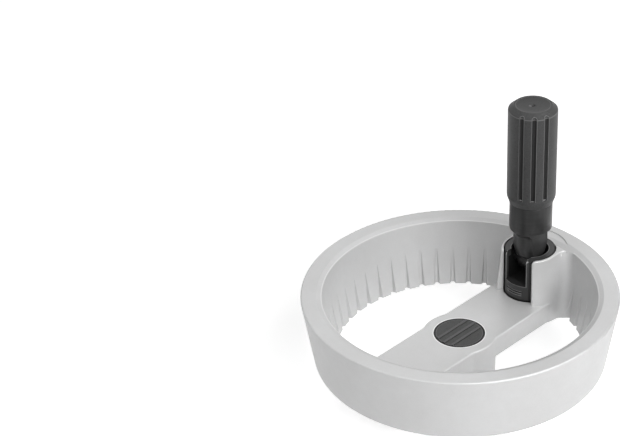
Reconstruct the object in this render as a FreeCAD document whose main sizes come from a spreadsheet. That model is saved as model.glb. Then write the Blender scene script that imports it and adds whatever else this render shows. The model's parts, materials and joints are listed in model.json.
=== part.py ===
import FreeCAD, Part
import math
import os
import Sketcher

# Machine handwheel, 160 mm: a two-spoke cast aluminium wheel with a deep conical rim,
# a snap-in hub cover, and a revolving cylindrical grip that folds flat inside the rim.
# The origin is the centre of the hub's rear face, +Z points towards the grip and the
# grip's axis stands on the +X spoke.

Vector = FreeCAD.Vector

# Driving sizes in millimetres and degrees: name, value, what it is.
SIZES = [
    ("rim_radius", 80.0, "outer radius of the rim at its top face"),
    ("rim_top", 50.0, "height of the rim's top face above the hub's rear face"),
    ("rim_depth", 36.8, "depth of the rim from top face to rear face"),
    ("rim_outer_draft", 5.9, "how far the outer wall leans in over the rim's depth"),
    ("rim_wall", 10.65, "width of the rim's top face, lip included"),
    ("rim_inner_draft", 6.0, "how far the inner wall leans in over the rim's depth"),
    ("lip_width", 2.5, "width of the sloping lip inside the rim's top face"),
    ("lip_drop", 1.0, "drop of the sloping lip"),
    ("rim_edge_round", 0.9, "rounding of the rim's outer top edge"),
    ("rim_rear_round", 2.6, "rounding of the rim's outer rear edge"),
    ("groove_depth", 1.85, "depth of a finger groove at the rim's rear face"),
    ("groove_rise", 21.0, "height over which a finger groove fades out"),
    ("groove_floor", 1.3, "width of a groove's floor"),
    ("groove_flank", 0.5, "sideways spread of a groove's flank for each millimetre"),
    ("groove_margin", 1.75, "angle from the end of the spoke's rounding to the first groove"),
    ("groove_pitch", 7.6, "angle between grooves"),
    ("groove_count", 19, "grooves on each side of the spokes"),
    ("spoke_width", 34.1, "width of the spoke bar"),
    ("spoke_drop", 25.8, "drop from the rim's top face to the spokes' front face"),
    ("spoke_root", 3.5, "depth that the spokes run into the rim's wall"),
    ("spoke_edge_round", 1.0, "rounding of the spokes' front edges"),
    ("rim_blend", 4.5, "rounding of the spokes and the boss into the rim's wall"),
    ("hub_stand", 1.95, "how far the hub stands out beside the spokes at their front face"),
    ("hub_draft", 0.7, "how far the hub narrows to its rear face"),
    ("hub_blend", 6.0, "rounding between hub and spokes"),
    ("bore_radius", 8.0, "shaft bore"),
    ("key_width", 5.0, "keyway width"),
    ("key_reach", 10.3, "keyway depth, from the bore's axis"),
    ("nut_recess_radius", 10.5, "recess for the axial shaft screw"),
    ("nut_recess_depth", 4.0, "depth of that recess below the cover"),
    ("cover_radius", 12.75, "hub cover radius"),
    ("cover_gap", 0.35, "gap round the hub cover"),
    ("cover_thickness", 3.0, "hub cover thickness"),
    ("cover_rib_pitch", 4.6, "distance between the cover's ribs"),
    ("cover_rib_width", 1.5, "width of a cover rib"),
    ("cover_rib_rise", 0.5, "rise of a cover rib"),
    ("cover_skirt_wall", 1.4, "wall of the cover's snap skirt"),
    ("cover_skirt_gap", 0.1, "gap between the snap skirt and the screw's recess"),
    ("handle_inset", 13.85, "distance of the grip's axis from the rim's inner edge"),
    ("boss_step", 0.5, "drop from the rim's top face to the boss's top"),
    ("boss_wall", 1.05, "wall of the boss round its pocket, at the rim's top face"),
    ("boss_draft", 1.25, "how far the boss's sides stand out beside the spoke at the rim's rear face"),
    ("boss_end_cover", 6.0, "metal left outside the boss's end at the rim's top face"),
    ("boss_foot_cover", 5.3, "metal left outside the boss's end at the rim's rear face"),
    ("boss_edge_round", 0.6, "rounding of the boss's top edge"),
    ("boss_corner_round", 2.2, "rounding of the two wall ends at the boss's top"),
    ("boss_opening", 86.0, "opening angle of the boss towards the hub"),
    ("spotface_margin", 4.75, "width of the spot face round the boss"),
    ("housing_radius", 13.1, "grip housing radius"),
    ("housing_gap", 0.5, "gap round the grip housing"),
    ("housing_sink", 0.1, "drop from the boss's top to the housing's top"),
    ("housing_chamfer", 0.3, "chamfer of the housing's top edge"),
    ("housing_seat", 30.0, "drop from the rim's top face to the housing's seat"),
    ("neck_clearance", 0.85, "gap between the neck and the hole in the housing's top ring"),
    ("ring_height", 3.9, "height of the housing's top ring"),
    ("cavity_width", 16.4, "width of the housing's cavity"),
    ("cavity_length", 18.0, "length of the housing's cavity"),
    ("cavity_drop", 18.5, "drop from the rim's top face to the cavity's floor"),
    ("slot_clearance", 0.4, "gap between the neck's flats and the slot, on each side"),
    ("sill_drop", 16.8, "drop from the rim's top face to the slot's sill"),
    ("ear_inset", 0.7, "how far the ears' clearance circle stays inside the housing's radius"),
    ("ear_cut_rise", 2.5, "height above the pivot where the ears' clearance starts"),
    ("notch_width", 9.4, "width of the finger-nail notch under the sill"),
    ("notch_drop", 3.5, "drop from the sill to the notch"),
    ("notch_height", 2.2, "height of the notch at its middle"),
    ("notch_low_width", 6.6, "width of the notch below the bar"),
    ("notch_depth", 1.5, "depth of the notch"),
    ("notch_rib", 0.5, "height of the bar across the notch"),
    ("pivot_drop", 7.6, "drop from the rim's top face to the pivot's axis"),
    ("pin_radius", 2.5, "pivot pin radius"),
    ("pin_inset", 0.5, "how far the pin's ends stay inside the housing"),
    ("pin_clearance", 0.05, "running clearance on the pivot pin"),
    ("neck_radius", 8.85, "radius of the stem's neck"),
    ("neck_end_radius", 7.4, "radius of the neck at its lower end"),
    ("neck_end_gap", 0.3, "gap between the neck's lower end and the brake washers"),
    ("neck_end_chamfer", 0.5, "chamfer of the neck's lower end"),
    ("neck_taper_top", 3.0, "height of the top of the neck's taper above the rim"),
    ("neck_flat_width", 12.6, "width of the neck across its two flats"),
    ("neck_flat_top", 13.2, "height of the flats' upper end above the rim"),
    ("tongue_width", 7.2, "thickness of the stem's tongue"),
    ("tongue_radius", 5.3, "radius of the tongue round the pivot"),
    ("collar_inset", 1.5, "how far the collar stays inside the sleeve's radius"),
    ("collar_chamfer_start", 9.8, "height of the collar's chamfer above the rim"),
    ("collar_start", 12.6, "height of the collar above the rim"),
    ("neck_round", 3.0, "rounding between the neck and the collar's chamfer"),
    ("collar_round", 1.0, "rounding of the collar's lower edge"),
    ("collar_top", 28.0, "height of the collar's top face above the rim"),
    ("sleeve_gap", 0.3, "gap between collar and sleeve"),
    ("sleeve_radius", 12.5, "grip sleeve radius"),
    ("sleeve_foot", 3.6, "height of the sleeve's lower shoulder"),
    ("sleeve_foot_step", 0.3, "how far the sleeve's foot stands out from the collar"),
    ("grip_top", 83.0, "height of the grip's end above the rim"),
    ("sleeve_shoulder", 2.6, "height of the sleeve's upper shoulder"),
    ("sleeve_softening", 0.4, "softening of the sleeve's shoulder edges"),
    ("cap_inset", 3.4, "how far the end cap stays inside the sleeve's radius"),
    ("cap_gap", 0.1, "gap round the end cap"),
    ("cap_thickness", 2.0, "end cap thickness"),
    ("cap_dish", 0.8, "depth of the end cap's dish"),
    ("cap_rim", 0.7, "width of the flat rim round the dish"),
    ("cap_slope", 1.4, "width of the slope from the rim into the dish"),
    ("cap_sink", 0.1, "drop from the grip's end to the cap's rim"),
    ("cap_dimple_radius", 1.3, "radius of the dimple in the end cap's middle"),
    ("cap_dimple_depth", 0.5, "depth of that dimple"),
    ("cap_skirt_height", 4.0, "height of the end cap's skirt"),
    ("cap_skirt_wall", 1.2, "wall of the end cap's skirt"),
    ("flute_radius", 1.15, "radius of a flute"),
    ("flute_depth", 1.0, "depth of a flute"),
    ("flute_end_round", 0.6, "rounding of a flute's lower end"),
    ("flute_start", 5.2, "height of a flute's lower end above the sleeve's foot"),
    ("flute_angle", -137.0, "direction of the middle flute of a group"),
    ("flute_pitch", 30.0, "angle between the flutes of a group"),
    ("spindle_radius", 4.0, "spindle radius"),
    ("spindle_clearance", 0.06, "running clearance of the sleeve on the spindle"),
    ("spindle_depth", 24.0, "depth of the spindle's bore in the stem"),
    ("spindle_chamfer", 0.8, "chamfer of the spindle's lower end"),
    ("spindle_end_gap", 1.0, "gap under the spindle's lower end"),
    ("head_inset", 0.5, "how far the spindle's head stays inside its washer's radius"),
    ("spindle_head_height", 3.2, "spindle head height"),
    ("head_chamfer", 0.5, "chamfer of the spindle's and the screws' heads"),
    ("spindle_key", 5.0, "width across flats of the head's hexagon socket"),
    ("socket_depth", 2.0, "depth of the hexagon socket"),
    ("head_room", 7.0, "room above the spindle's head, up to the grip's end"),
    ("head_clearance", 0.6, "gap round the thrust washer in the head's recess"),
    ("washer_thickness", 0.8, "thickness of the two thrust washers"),
    ("washer_radius", 7.0, "radius of the two thrust washers"),
    ("washer_gap", 0.1, "axial play at a thrust washer"),
    ("brake_washer_radius", 3.8, "radius of a brake washer"),
    ("brake_washer_thickness", 0.6, "thickness of a brake washer"),
    ("brake_gap", 0.1, "gap between tongue and brake washer"),
    ("spring_wire", 0.8, "wire diameter of a brake spring"),
    ("spring_inset", 0.1, "how far a brake spring stays inside its washer's radius"),
    ("spring_turns", 3, "turns of a brake spring"),
    ("screw_radius", 2.0, "radius of a housing screw"),
    ("screw_inset", 6.6, "distance of the housing screws' axes from the housing's wall"),
    ("screw_head_radius", 3.5, "head radius of a housing screw"),
    ("screw_head_height", 2.6, "head height of a housing screw"),
    ("screw_recess", 3.2, "depth of the recess for a housing screw"),
    ("screw_clearance", 0.2, "radial clearance round a housing screw"),
    ("screw_grip", 8.0, "depth of a housing screw's hole in the housing"),
    ("screw_end_gap", 0.5, "gap past a housing screw's end"),
    ("screw_key", 3.0, "width across flats of a housing screw's socket"),
    ("screw_socket", 1.5, "depth of a housing screw's socket"),
]

# Heights and widths that follow from the driving sizes, as formulas of the sheet.
DERIVED = [
    ("rim_inner_radius", "rim_radius - rim_wall"),
    ("handle_distance", "rim_inner_radius - handle_inset"),
    ("hub_radius", "spoke_width / 2 + hub_stand"),
    ("hub_rear_radius", "hub_radius - hub_draft"),
    ("pocket_radius", "housing_radius + housing_gap"),
    ("boss_radius", "pocket_radius + boss_wall"),
    ("boss_foot_radius", "spoke_width / 2 + boss_draft"),
    ("screw_spacing", "2 * (housing_radius - screw_inset)"),
    ("spotface_radius", "boss_radius + spotface_margin"),
    ("ear_clear_radius", "housing_radius - ear_inset"),
    ("collar_hole_radius", "neck_radius + neck_clearance"),
    ("slot_width", "neck_flat_width + 2 * slot_clearance"),
    ("spring_radius", "brake_washer_radius - spring_wire / 2 - spring_inset"),
    ("collar_radius", "sleeve_radius - collar_inset"),
    ("cap_radius", "sleeve_radius - cap_inset"),
    ("spindle_head_radius", "washer_radius - head_inset"),
    ("head_recess_radius", "washer_radius + head_clearance"),
    ("rim_rear", "rim_top - rim_depth"),
    ("rim_rear_radius", "rim_radius - rim_outer_draft"),
    ("rim_rear_inner", "rim_inner_radius - rim_inner_draft"),
    ("boss_reach", "rim_radius - handle_distance - boss_end_cover"),
    ("boss_foot_reach", "rim_rear_radius - handle_distance - boss_foot_cover"),
    ("groove_first",
     "asin((spoke_width / 2 + rim_blend) / rim_rear_inner) / 1 deg + groove_margin"),
    ("spoke_top", "rim_top - spoke_drop"),
    ("spoke_end", "rim_rear_inner + spoke_root"),
    ("cover_seat", "spoke_top - cover_thickness"),
    ("nut_seat", "cover_seat - nut_recess_depth"),
    ("boss_top", "rim_top - boss_step"),
    ("housing_top", "boss_top - housing_sink"),
    ("housing_floor", "rim_top - housing_seat"),
    ("cavity_floor", "rim_top - cavity_drop"),
    ("cavity_top", "housing_top - ring_height"),
    ("sill_top", "rim_top - sill_drop"),
    ("pivot_height", "rim_top - pivot_drop"),
    ("neck_end", "pivot_height + brake_washer_radius + neck_end_gap"),
    ("collar_face", "rim_top + collar_top"),
    ("sleeve_start", "collar_face + sleeve_gap"),
    ("grip_end", "rim_top + grip_top"),
    ("cap_seat", "grip_end - cap_thickness"),
    ("head_top", "grip_end - head_room"),
    ("head_base", "head_top - spindle_head_height"),
    ("head_seat", "head_base - washer_thickness - washer_gap"),
    ("foot_washer_top", "collar_face + washer_thickness"),
    ("sleeve_bore", "spindle_radius + spindle_clearance"),
    ("brake_face", "tongue_width / 2 + brake_gap"),
    ("spring_face", "brake_face + brake_washer_thickness"),
]

SHEET = "Sizes"
TOLERANCE = 1e-3
# How far a point may lie from the place where an edge is looked for.
SLACK = 0.05
# How far a cutting outline runs past the solid that it cuts.
OVERRUN = "4"

doc = FreeCAD.newDocument("handwheel")


def fill_sheet():
    """Write the driving sizes as plain numbers and the derived ones as formulas."""
    sheet = doc.addObject("Spreadsheet::Sheet", SHEET)
    for row, (name, value, note) in enumerate(SIZES, start=1):
        sheet.set("A%d" % row, note)
        sheet.set("B%d" % row, str(value))
        sheet.setAlias("B%d" % row, name)
    doc.recompute()
    for row, (name, formula) in enumerate(DERIVED, start=len(SIZES) + 1):
        sheet.set("A%d" % row, formula)
        sheet.set("B%d" % row, "=" + formula)
        sheet.setAlias("B%d" % row, name)
        doc.recompute()
    return sheet


sheet = fill_sheet()
ALIASES = [name for name, _, _ in SIZES] + [name for name, _ in DERIVED]


def bound(text):
    """Turn a formula of the sheet's names into an expression that other objects can use."""
    word = ""
    out = ""
    for letter in text + " ":
        if letter.isalnum() or letter == "_":
            word += letter
            continue
        out += "%s.%s" % (SHEET, word) if word in ALIASES else word
        out += letter
        word = ""
    return out.strip()


def value(text):
    """Return the number that a formula of the sheet's names gives now."""
    return float(sheet.evalExpression(bound(text)))


def bind(thing, prop, text):
    """Bind a property of an object to a formula of the sheet's names."""
    thing.setExpression(prop, bound(text))


def new_body(name, at_handle=False):
    """Make a body, on the wheel's axis or on the grip's axis."""
    body = doc.addObject("PartDesign::Body", name)
    body.Label = name
    if at_handle:
        bind(body, "Placement.Base.x", "handle_distance")
    return body


def origin_item(body, role):
    return next(item for item in body.Origin.OriginFeatures if item.Role == role)


def new_sketch(body, name, plane="XY_Plane", offset="0", turn=None):
    """Make a sketch on an origin plane of its body, moved along the plane's normal."""
    sketch = body.newObject("Sketcher::SketchObject", name)
    sketch.AttachmentSupport = (origin_item(body, plane), [""])
    sketch.MapMode = "FlatFace"
    if turn:
        sketch.AttachmentOffset = FreeCAD.Placement(Vector(), FreeCAD.Rotation(Vector(0, 0, 1), 1))
        bind(sketch, "AttachmentOffset.Rotation.Angle", turn)
    bind(sketch, "AttachmentOffset.Base.z", offset)
    doc.recompute()
    return sketch


def place_point(sketch, geometry, end, x_text, y_text):
    """Tie a point of a sketch to the sketch's origin by two bound distances."""
    for kind, text in (("DistanceX", x_text), ("DistanceY", y_text)):
        index = sketch.addConstraint(
            Sketcher.Constraint(kind, -1, 1, geometry, end, value(text)))
        bind(sketch, "Constraints[%d]" % index, text)


def draw_polygon(sketch, points):
    """Draw a closed outline of straight lines through points given as formulas."""
    spots = [Vector(value(x), value(y), 0) for x, y in points]
    count = len(points)
    first = sketch.GeometryCount
    for index in range(count):
        sketch.addGeometry(Part.LineSegment(spots[index], spots[(index + 1) % count]), False)
    for index in range(count):
        follower = first + (index + 1) % count
        sketch.addConstraint(Sketcher.Constraint("Coincident", first + index, 2, follower, 1))
    for index, (x_text, y_text) in enumerate(points):
        place_point(sketch, first + index, 1, x_text, y_text)


def draw_circle(sketch, radius, x_text="0", y_text="0"):
    """Draw a circle of a bound radius about a point given as formulas."""
    centre = Vector(value(x_text), value(y_text), 0)
    circle = sketch.addGeometry(Part.Circle(centre, Vector(0, 0, 1), value(radius)), False)
    index = sketch.addConstraint(Sketcher.Constraint("Radius", circle, value(radius)))
    bind(sketch, "Constraints[%d]" % index, radius)
    place_point(sketch, circle, 3, x_text, y_text)


def draw_rectangle(sketch, x_low, x_high, y_low, y_high):
    draw_polygon(sketch, [(x_low, y_low), (x_high, y_low), (x_high, y_high), (x_low, y_high)])


def draw_hexagon(sketch, width, x_text="0", y_text="0"):
    """Draw a hexagon of a bound width across flats."""
    corners = []
    for index in range(6):
        angle = math.radians(60 * index + 30)
        reach = "(%s) / sqrt(3)" % width
        corners.append(("%s + %s * (%.7f)" % (x_text, reach, math.cos(angle)),
                        "%s + %s * (%.7f)" % (y_text, reach, math.sin(angle))))
    draw_polygon(sketch, corners)


def draw_round_end(sketch, radius, reach):
    """Draw a half circle about the origin, open to +X, closed by a square end at a reach."""
    size = value(radius)
    end = value(reach)
    arc = sketch.addGeometry(Part.ArcOfCircle(
        Part.Circle(Vector(), Vector(0, 0, 1), size), math.pi / 2, 3 * math.pi / 2), False)
    lower = sketch.addGeometry(Part.LineSegment(Vector(0, -size, 0), Vector(end, -size, 0)), False)
    side = sketch.addGeometry(Part.LineSegment(Vector(end, -size, 0), Vector(end, size, 0)), False)
    upper = sketch.addGeometry(Part.LineSegment(Vector(end, size, 0), Vector(0, size, 0)), False)
    sketch.addConstraint(Sketcher.Constraint("Coincident", arc, 3, -1, 1))
    for one, other in (((arc, 2), (lower, 1)), ((lower, 2), (side, 1)),
                       ((side, 2), (upper, 1)), ((upper, 2), (arc, 1))):
        sketch.addConstraint(Sketcher.Constraint("Coincident", one[0], one[1], other[0], other[1]))
    for line in (lower, upper):
        sketch.addConstraint(Sketcher.Constraint("Horizontal", line))
    sketch.addConstraint(Sketcher.Constraint("Vertical", side))
    sketch.addConstraint(Sketcher.Constraint("PointOnObject", arc, 1, -2))
    index = sketch.addConstraint(Sketcher.Constraint("Radius", arc, size))
    bind(sketch, "Constraints[%d]" % index, radius)
    index = sketch.addConstraint(Sketcher.Constraint("DistanceX", -1, 1, side, 1, end))
    bind(sketch, "Constraints[%d]" % index, reach)


def pad(body, sketch, name, length, backwards=False):
    feature = body.newObject("PartDesign::Pad", name)
    feature.Profile = sketch
    feature.Reversed = backwards
    bind(feature, "Length", length)
    return feature


def pocket(body, sketch, name, depth, forwards=False):
    """Cut a sketch, against its plane's normal or, forwards, along it."""
    before = body.Shape.Volume
    feature = body.newObject("PartDesign::Pocket", name)
    feature.Profile = sketch
    feature.Reversed = forwards
    bind(feature, "Length", depth)
    doc.recompute()
    if feature.Shape.Volume > before - TOLERANCE:
        raise ValueError("%s cuts nothing" % name)
    return feature


def revolve(body, name, points, kind="PartDesign::Revolution"):
    """Turn an outline of radius and height round the body's Z axis."""
    sketch = new_sketch(body, name + "Profile", "XZ_Plane")
    draw_polygon(sketch, points)
    feature = body.newObject(kind, name)
    feature.Profile = sketch
    feature.ReferenceAxis = (sketch, ["V_Axis"])
    feature.Angle = 360
    doc.recompute()
    return feature


def loft(body, name, sketches, kind="PartDesign::AdditiveLoft"):
    feature = body.newObject(kind, name)
    feature.Profile = sketches[0]
    feature.Sections = sketches[1:]
    feature.Ruled = True
    doc.recompute()
    return feature


def polar_pattern(body, feature, name, angle, count, backwards=False):
    """Repeat a feature round the body's Z axis over an angle."""
    pattern = body.newObject("PartDesign::PolarPattern", name)
    pattern.Originals = [feature]
    pattern.Axis = (origin_item(body, "Z_Axis"), [""])
    pattern.Reversed = backwards
    bind(pattern, "Angle", angle)
    bind(pattern, "Occurrences", count)
    body.Tip = pattern
    doc.recompute()
    return pattern


def pick_edges(feature, test):
    """Name the edges of a feature that pass a test."""
    names = []
    for index, edge in enumerate(feature.Shape.Edges, start=1):
        if edge.Length > TOLERANCE and test(edge):
            names.append("Edge%d" % index)
    return names


def round_edges(body, name, radius, test, kind="PartDesign::Fillet"):
    """Fillet, or chamfer, the edges of the body's tip that pass a test."""
    doc.recompute()
    base = body.Tip
    names = pick_edges(base, test)
    if not names:
        raise ValueError("%s finds no edge" % name)
    feature = body.newObject(kind, name)
    feature.Base = (base, names)
    bind(feature, "Radius" if kind.endswith("Fillet") else "Size", radius)
    doc.recompute()
    return feature


def near(one, other):
    return abs(one - other) < SLACK


def middle(edge):
    """Return the point half way along an edge."""
    low, high = edge.ParameterRange
    return edge.valueAt((low + high) / 2)


def distance_from_axis(point):
    return math.hypot(point.x, point.y)


def is_ring(edge, radius, height):
    """Say whether an edge is a circle or arc about the Z axis at a height."""
    point = middle(edge)
    ends = [distance_from_axis(vertex.Point) for vertex in edge.Vertexes]
    level = near(point.z, height) and all(near(vertex.Z, height) for vertex in edge.Vertexes)
    return level and near(distance_from_axis(point), radius) and all(
        near(end, radius) for end in ends)


def make_wheel_body():
    """One aluminium casting: conical rim, two spokes, hub, and the boss for the grip."""
    body = new_body("wheel_body")
    revolve(body, "Rim", [
        ("rim_radius", "rim_top"),
        ("rim_rear_radius", "rim_rear"),
        ("rim_rear_inner", "rim_rear"),
        ("rim_inner_radius", "rim_top"),
    ])
    round_edges(body, "RimTopRound", "rim_edge_round",
                lambda edge: is_ring(edge, value("rim_radius"), value("rim_top")))
    round_edges(body, "RimRearRound", "rim_rear_round",
                lambda edge: is_ring(edge, value("rim_rear_radius"), value("rim_rear")))
    add_spokes_and_hub(body)
    add_handle_boss(body)
    cut_finger_grooves(body)
    return body


def cut_finger_grooves(body):
    """Cut the grooves in the rear half of the inner wall, deepest at the rim's rear face."""
    wall_slope = "(rim_inner_draft / rim_depth)"
    floor_rear = "(rim_rear_inner + groove_depth)"
    floor_fade = "(rim_rear_inner + %s * groove_rise)" % wall_slope
    for side, sign in (("Left", "1"), ("Right", "-1")):
        sections = []
        for level, floor, height in (("Rear", floor_rear, "rim_rear"),
                                     ("Fade", floor_fade, "rim_rear + groove_rise")):
            sketch = new_sketch(body, "Groove%s%s" % (side, level), offset=height,
                                turn="%s * groove_first" % sign)
            mouth = "(%s - groove_depth - %s)" % (floor, OVERRUN)
            spread = "(groove_floor / 2 + groove_flank * (groove_depth + %s))" % OVERRUN
            draw_polygon(sketch, [
                (floor, "-groove_floor / 2"),
                (floor, "groove_floor / 2"),
                (mouth, spread),
                (mouth, "-" + spread),
            ])
            sections.append(sketch)
        cut = loft(body, "Groove" + side, sections, "PartDesign::SubtractiveLoft")
        polar_pattern(body, cut, "Grooves" + side, "groove_pitch * (groove_count - 1)",
                      "groove_count", backwards=(sign == "-1"))


def add_spokes_and_hub(body):
    """Add the flat bar across the rim and the hub in its middle, with the shaft bore."""
    bar = new_sketch(body, "SpokeOutline", offset="rim_rear")
    draw_rectangle(bar, "-spoke_end", "spoke_end", "-spoke_width / 2", "spoke_width / 2")
    pad(body, bar, "Spokes", "spoke_top - rim_rear")
    revolve(body, "Hub", [
        ("0", "0"), ("hub_rear_radius", "0"), ("hub_radius", "spoke_top"), ("0", "spoke_top")])
    half = value("spoke_width / 2")
    height = value("spoke_top - rim_rear")

    def upright_on_bar(edge):
        rise = abs(edge.Vertexes[0].Z - edge.Vertexes[-1].Z)
        return near(rise, height) and all(
            near(abs(vertex.Y), half) for vertex in edge.Vertexes)

    limit = value("rim_rear_inner") / 2
    round_edges(body, "HubBlend", "hub_blend",
                lambda edge: upright_on_bar(edge) and abs(middle(edge).x) < limit)
    round_edges(body, "SpokeRimRound", "rim_blend",
                lambda edge: upright_on_bar(edge) and middle(edge).x < -limit)
    round_edges(body, "SpokeEdgeRound", "spoke_edge_round",
                lambda edge: edge.Curve.TypeId == "Part::GeomLine"
                and near(middle(edge).z, value("spoke_top"))
                and near(abs(middle(edge).y), half))
    add_hub_recesses(body)


def add_hub_recesses(body):
    """Bore the hub from the front: cover seat, screw recess, shaft bore and keyway."""
    for name, radius, top, floor in (
            ("CoverSeat", "cover_radius + cover_gap", "spoke_top", "cover_seat"),
            ("NutRecess", "nut_recess_radius", "cover_seat", "nut_seat"),
            ("ShaftBore", "bore_radius", "nut_seat", "0")):
        sketch = new_sketch(body, name + "Outline", offset=top)
        draw_circle(sketch, radius)
        pocket(body, sketch, name, "%s - (%s)" % (top, floor))
    key = new_sketch(body, "KeywayOutline", offset="nut_seat")
    draw_rectangle(key, "0", "key_reach", "-key_width / 2", "key_width / 2")
    pocket(body, key, "Keyway", "nut_seat")


def add_handle_boss(body):
    """Add the round-ended boss at the rim, open to the hub, with the housing's pocket."""
    centre = "handle_distance"
    foot = new_sketch(body, "BossFoot", offset="rim_rear")
    crown = new_sketch(body, "BossCrown", offset="rim_top")
    for sketch in (foot, crown):
        bind(sketch, "AttachmentOffset.Base.x", centre)
    doc.recompute()
    draw_round_end(foot, "boss_foot_radius", "boss_foot_reach")
    draw_round_end(crown, "boss_radius", "boss_reach")
    loft(body, "Boss", [foot, crown])
    wall = value("rim_rear_inner")

    def meets_rim(edge):
        heights = sorted(vertex.Z for vertex in edge.Vertexes)
        tall = near(heights[-1] - heights[0], value("rim_depth"))
        reach = distance_from_axis(middle(edge))
        return tall and middle(edge).x > 0 and wall < reach < value("rim_inner_radius")

    round_edges(body, "BossRimRound", "rim_blend", meets_rim)
    cut_lip(body)

    spot = new_sketch(body, "SpotfaceOutline", offset="rim_top")
    draw_circle(spot, "spotface_radius", centre)
    pocket(body, spot, "Spotface", "boss_step")
    seat = new_sketch(body, "HousingPocketOutline", offset="boss_top")
    draw_circle(seat, "pocket_radius", centre)
    pocket(body, seat, "HousingPocket", "boss_top - housing_floor")

    wedge = new_sketch(body, "BossOpeningOutline", offset="boss_top")
    reach = "spoke_width"
    spread = "spoke_width * tan(boss_opening / 2 * 1 deg)"
    draw_polygon(wedge, [
        (centre, "0"), ("%s - %s" % (centre, reach), spread),
        ("%s - %s" % (centre, reach), "-" + spread)])
    pocket(body, wedge, "BossOpening", "boss_top - spoke_top")

    half_spacing = "screw_spacing / 2"
    for name, radius, low, depth in (
            ("ScrewRecess", "screw_head_radius + screw_clearance", "rim_rear", "screw_recess"),
            ("ScrewHole", "screw_radius + screw_clearance", "rim_rear",
             "housing_floor - rim_rear")):
        sketch = new_sketch(body, name + "Outline", offset=low)
        draw_circle(sketch, radius, centre, half_spacing)
        draw_circle(sketch, radius, centre, "-" + half_spacing)
        pocket(body, sketch, name, depth, forwards=True)
    round_boss_edges(body)


def cut_lip(body):
    """Slope the inner edge of the rim's top face."""
    inside = "(rim_inner_radius - lip_width)"
    outside = "(rim_inner_radius + lip_width)"
    above = "(rim_top + %s)" % OVERRUN
    revolve(body, "Lip", [
        (inside, above),
        (inside, "rim_top - 2 * lip_drop"),
        (outside, "rim_top"),
        (outside, above),
    ], "PartDesign::Groove")


def round_boss_edges(body):
    """Round the boss's two wall ends and its top edge."""
    axis = Vector(value("handle_distance"), 0, 0)
    pocket_radius = value("pocket_radius")

    def from_grip(point):
        return math.hypot(point.x - axis.x, point.y)

    def wall_end_top(edge):
        point = middle(edge)
        flat = near(point.z, value("boss_top")) and edge.Curve.TypeId == "Part::GeomLine"
        reach = from_grip(point)
        return flat and point.x < axis.x and pocket_radius < reach < value("boss_foot_radius")

    round_edges(body, "WallEndRound", "boss_corner_round", wall_end_top)

    def boss_outer_top(edge):
        point = middle(edge)
        level = all(near(vertex.Z, value("boss_top")) for vertex in edge.Vertexes)
        outside = from_grip(point) > value("pocket_radius + boss_wall / 2")
        inside_rim = distance_from_axis(point) < value("rim_inner_radius + lip_width")
        return level and near(point.z, value("boss_top")) and outside and inside_rim

    round_edges(body, "BossTopRound", "boss_edge_round", boss_outer_top)


def make_hub_cover():
    """A moulded cover, flush with the spokes, with three ribs and a snap skirt."""
    body = new_body("hub_cover")
    disc = new_sketch(body, "DiscOutline", offset="cover_seat")
    draw_circle(disc, "cover_radius")
    pad(body, disc, "Disc", "cover_thickness")
    skirt = new_sketch(body, "SkirtOutline", offset="cover_seat")
    draw_circle(skirt, "nut_recess_radius - cover_skirt_gap")
    draw_circle(skirt, "nut_recess_radius - cover_skirt_gap - cover_skirt_wall")
    pad(body, skirt, "Skirt", "nut_recess_depth - cover_skirt_gap", backwards=True)
    for index, place in (("Low", "-cover_rib_pitch"), ("Middle", "0"), ("High", "cover_rib_pitch")):
        rib = new_sketch(body, "Rib%sOutline" % index, offset="spoke_top")
        edge = "(%s)" % place
        rim = "(cover_radius - cover_rib_rise)"
        reach = "sqrt(%s ^ 2 - (abs(%s) + cover_rib_width / 2) ^ 2)" % (rim, edge)
        draw_rectangle(rib, "-" + reach, reach, "%s - cover_rib_width / 2" % edge,
                       "%s + cover_rib_width / 2" % edge)
        pad(body, rib, "Rib" + index, "cover_rib_rise")
    top = value("spoke_top + cover_rib_rise")
    round_edges(body, "RibRound", "cover_rib_rise / 2",
                lambda edge: near(middle(edge).z, top) and all(
                    near(vertex.Z, top) for vertex in edge.Vertexes))
    return body


def make_grip_housing():
    """The insert that holds the folding stem: a slotted cup with a ring, ears and a sill."""
    body = new_body("grip_housing", at_handle=True)
    outline = new_sketch(body, "CupOutline", offset="housing_floor")
    draw_circle(outline, "housing_radius")
    pad(body, outline, "Cup", "housing_top - housing_floor")
    round_edges(body, "CupTopChamfer", "housing_chamfer",
                lambda edge: is_ring(edge, value("housing_radius"), value("housing_top")),
                kind="PartDesign::Chamfer")

    hole = new_sketch(body, "RingHoleOutline", offset="housing_top")
    draw_circle(hole, "collar_hole_radius")
    pocket(body, hole, "RingHole", "ring_height")
    cavity = new_sketch(body, "CavityOutline", offset="cavity_top")
    draw_rectangle(cavity, "-cavity_length / 2", "cavity_length / 2",
                   "-cavity_width / 2", "cavity_width / 2")
    pocket(body, cavity, "Cavity", "cavity_top - cavity_floor")
    slot = new_sketch(body, "SlotOutline", offset="housing_top")
    draw_rectangle(slot, "-housing_radius - %s" % OVERRUN, "0",
                   "-slot_width / 2", "slot_width / 2")
    pocket(body, slot, "Slot", "housing_top - sill_top")

    cut_ears(body)
    cut_notch(body)
    pin = new_sketch(body, "PinHoleOutline", "XZ_Plane", offset="-housing_radius")
    draw_circle(pin, "pin_radius", "0", "pivot_height")
    pocket(body, pin, "PinHole", "2 * housing_radius", forwards=True)
    screws = new_sketch(body, "ScrewHoleOutline", offset="housing_floor")
    draw_circle(screws, "screw_radius", "0", "screw_spacing / 2")
    draw_circle(screws, "screw_radius", "0", "-screw_spacing / 2")
    pocket(body, screws, "ScrewHoles", "screw_grip", forwards=True)
    return body


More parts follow.
